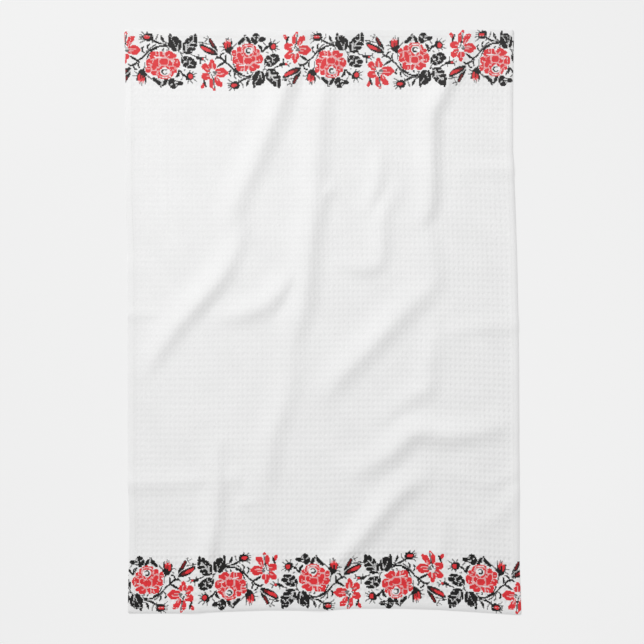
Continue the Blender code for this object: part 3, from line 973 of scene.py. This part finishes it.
def waffleNodes(tree, parts):  # 0 on the raised threads, 1 in the middle of each cell
    walls = []
    for part, size in (("X", towel["cellAcross"]), ("Y", towel["cellAlong"])):
        cell = parts.outputs[part]
        for step, by in (("DIVIDE", size), ("FRACT", 0), ("SUBTRACT", 0.5), ("ABSOLUTE", 0)):
            cell = addNode(tree, "ShaderNodeMath", {0: cell, 1: by}, operation=step)
        wall = addNode(tree, "ShaderNodeMapRange", {
            "Value": cell, "From Min": 0.5 - cotton["ridge"] / 2,
            "From Max": cotton["wellFloor"], "To Min": 0.0, "To Max": 1.0,
        }, interpolation_type="SMOOTHSTEP")
        walls.append(wall)
    return addNode(tree, "ShaderNodeMath", {0: walls[0], 1: walls[1]}, operation="MULTIPLY")


def reliefNodes(tree, parts):  # how high the cloth stands, in metres
    # the cells fade out on the hems, which are pressed flat
    well = waffleNodes(tree, parts)
    for part, half in (("X", towel["width"] / 2), ("Y", towel["length"] / 2)):
        out = addNode(tree, "ShaderNodeMath", {0: parts.outputs[part]}, operation="ABSOLUTE")
        fade = addNode(tree, "ShaderNodeMapRange", {
            "Value": out, "From Min": half - towel["plainHem"][0],
            "From Max": half - towel["plainHem"][1]})
        well = addNode(tree, "ShaderNodeMath", {0: well, 1: fade}, operation="MULTIPLY")
    # and they are flatter towards the upper left, where the cloth is pressed best
    slant = addNode(tree, "ShaderNodeMath", {
        0: parts.outputs["X"], 1: parts.outputs["Y"]}, operation="SUBTRACT")
    low, high = towel["relief"]
    depth = addNode(tree, "ShaderNodeMapRange", {
        "Value": slant, "From Min": -towel["reliefReach"], "From Max": towel["reliefReach"],
        "To Min": low * cotton["wellBump"] * mm, "To Max": high * cotton["wellBump"] * mm})
    waves = []
    for part in ("X", "Y"):
        wave = addNode(tree, "ShaderNodeMath", {
            0: parts.outputs[part], 1: 2 * math.pi / cotton["yarn"]}, operation="MULTIPLY")
        waves.append(addNode(tree, "ShaderNodeMath", {0: wave}, operation="SINE"))
    yarns = addNode(tree, "ShaderNodeMath", {0: waves[0], 1: waves[1]}, operation="MULTIPLY")
    yarns = addNode(tree, "ShaderNodeMath", {
        0: yarns, 1: cotton["yarnBump"] * mm}, operation="MULTIPLY")
    sunk = addNode(tree, "ShaderNodeMath", {0: well, 1: depth}, operation="MULTIPLY")
    return addNode(tree, "ShaderNodeMath", {0: yarns, 1: sunk}, operation="SUBTRACT")


def clothMaterial(name, isBack):
    # Bleached cotton in a waffle weave: matt, softly uneven white, with its cells' shade and its
    # single yarns just showing. The print sits on the yarns and leaves the relief as it is.
    material, tree, shader = newMaterial(name, {
        "Roughness": cotton["roughness"], "Specular IOR Level": cotton["gloss"],
        "Sheen Weight": cotton["sheen"], "Sheen Roughness": cotton["sheenRoughness"]})
    place = addNode(tree, "ShaderNodeUVMap", uv_map="flatCloth")
    inMm = addNode(tree, "ShaderNodeMapping", {"Vector": place, "Scale": (1000, 1000, 1000)})
    parts = addNode(tree, "ShaderNodeSeparateXYZ", {"Vector": inMm})
    patches = addNode(tree, "ShaderNodeTexNoise", {
        "Vector": inMm, "Scale": 1 / cotton["patch"], "Detail": 3.0})
    lint = addNode(tree, "ShaderNodeTexNoise", {
        "Vector": inMm, "Scale": 1 / cotton["lint"], "Detail": 1.0})
    uneven = addNode(tree, "ShaderNodeMath", {0: patches, 1: lint}, operation="ADD")
    low, high = cotton["unevenness"]
    spread = addNode(tree, "ShaderNodeMapRange", {"Value": uneven, "From Min": low, "From Max": high})
    plain = addNode(tree, "ShaderNodeMix", {
        0: spread, 6: linear(cotton["shade"]), 7: linear(cotton["white"]),
    }, data_type="RGBA")
    colour = plain.outputs[2]
    relief = reliefNodes(tree, parts)
    if not isBack:
        # the inks are darker towards the bottom: the lower border's colours below the middle, the upper's
        # above
        height = addNode(tree, "ShaderNodeMapRange", {
            "Value": parts.outputs["Y"], "From Min": -cotton["dyeTurn"], "From Max": cotton["dyeTurn"]})
        low, high = cotton["wornLint"]
        for ink in ("red", "black"):
            share = addNode(tree, "ShaderNodeAttribute", attribute_name=ink + "Ink")
            dye = addNode(tree, "ShaderNodeMix", {
                0: height, 6: linear(cotton[ink + "Low"]), 7: linear(cotton[ink]),
            }, data_type="RGBA")
            worn = addNode(tree, "ShaderNodeMapRange", {
                "Value": lint, "From Min": low, "From Max": high,
                "To Min": 1.0, "To Max": cotton["worn"]})
            share = addNode(tree, "ShaderNodeMath", {
                0: share.outputs["Fac"], 1: worn}, operation="MULTIPLY")
            mixed = addNode(tree, "ShaderNodeMix", {
                0: share, 6: colour, 7: dye.outputs[2]}, data_type="RGBA")
            colour = mixed.outputs[2]
    tree.links.new(colour, shader.inputs["Base Color"])
    bump = addNode(tree, "ShaderNodeBump", {"Height": relief, "Strength": 1.0, "Distance": 1.0})
    tree.links.new(bump.outputs[0], shader.inputs["Normal"])
    return material


def threadMaterial():
    # Spun polyester sewing thread: white and a little brighter than the cotton, with a soft gloss.
    material, tree, shader = newMaterial("spunPolyesterThread", {"Roughness": seam["roughness"]})
    place = addNode(tree, "ShaderNodeTexCoord")
    fibre = addNode(tree, "ShaderNodeTexNoise", {
        "Vector": place.outputs["Object"], "Scale": seam["fibres"], "Detail": 1.0})
    mixed = addNode(tree, "ShaderNodeMix", {
        0: fibre, 6: linear(seam["shade"]), 7: linear(seam["white"]),
    }, data_type="RGBA")
    tree.links.new(mixed.outputs[2], shader.inputs["Base Color"])
    return material


cloth.data.materials.append(clothMaterial("printedWaffleCotton", False))
cloth.data.materials.append(clothMaterial("waffleCottonBack", True))
stitching.data.materials.append(threadMaterial())
for piece in (cloth, stitching):
    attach(piece, "root")
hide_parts("towel")
print("materials on")


studio = {
    "floorSize": 6,  # m
    "floorUnder": 0.0002,  # how far below the towel
    "cameraHeight": 1.582,  # m
    "lens": 85,  # mm
    "cameraAt": (-1.0, 0.5),  # mm from the middle
    "floor": "#F0F0F0",
    "floorGlow": 0.6,  # how much of the floor's tone is even, whatever the shade
    "floorEven": 0.028,  # how much more of it on the side away from the lamp, and less on the lamp's
    "floorAway": (1.0, -1.4, 0.0),  # away from the lamp, along the floor
    "sky": 0.648,  # brightness
    "lampAt": (-0.80, 1.12, 1.62),  # m
    "lampAim": (0.1, 0.0, 0),
    "lampSize": 0.8,
    "lampSpread": 110,  # degrees
    "lampPower": 8.2,
}

bpy.ops.object.select_all(action="DESELECT")
bpy.ops.mesh.primitive_plane_add(size=studio["floorSize"], location=(0, 0, -studio["floorUnder"]))
floor = bpy.context.active_object
floor.name = "floor"
tone = linear(studio["floor"])
darker = [part * (1 - studio["floorGlow"]) for part in tone[:3]]
# plain pale paper, matt and even in tone
paper, tree, shader = newMaterial("mattPaper", {
    "Base Color": (*darker, 1), "Roughness": 1.0, "Specular IOR Level": 0.0, "Emission Color": tone})
place = addNode(tree, "ShaderNodeTexCoord")
away = addNode(tree, "ShaderNodeVectorMath", {
    0: place.outputs["Object"], 1: studio["floorAway"]}, operation="DOT_PRODUCT")
glow = addNode(tree, "ShaderNodeMapRange", {
    "Value": away.outputs["Value"], "From Min": -0.5, "From Max": 0.5,
    "To Min": studio["floorGlow"] - studio["floorEven"], "To Max": studio["floorGlow"] + studio["floorEven"]})
tree.links.new(glow.outputs[0], shader.inputs["Emission Strength"])
floor.data.materials.append(paper)

world = bpy.data.worlds.new("softStudio")
world.use_nodes = True
world.node_tree.nodes["Background"].inputs["Color"].default_value = (1, 1, 1, 1)
world.node_tree.nodes["Background"].inputs["Strength"].default_value = studio["sky"]
bpy.context.scene.world = world

bpy.ops.object.light_add(type="AREA", location=studio["lampAt"])
lamp = bpy.context.active_object
lamp.name = "softLamp"
lamp.data.size = studio["lampSize"]
lamp.data.energy = studio["lampPower"]
lamp.data.spread = math.radians(studio["lampSpread"])
lamp.rotation_euler = (Vector(studio["lampAim"]) - lamp.location).to_track_quat("-Z", "Y").to_euler()

right, up = studio["cameraAt"]
bpy.ops.object.camera_add(location=(right * mm, up * mm, studio["cameraHeight"]), rotation=(0, 0, 0))
camera = bpy.context.active_object
camera.data.lens = studio["lens"]
camera.data.sensor_width = 36
bpy.context.scene.camera = camera
bpy.context.scene.view_settings.view_transform = "Standard"
print("studio set")
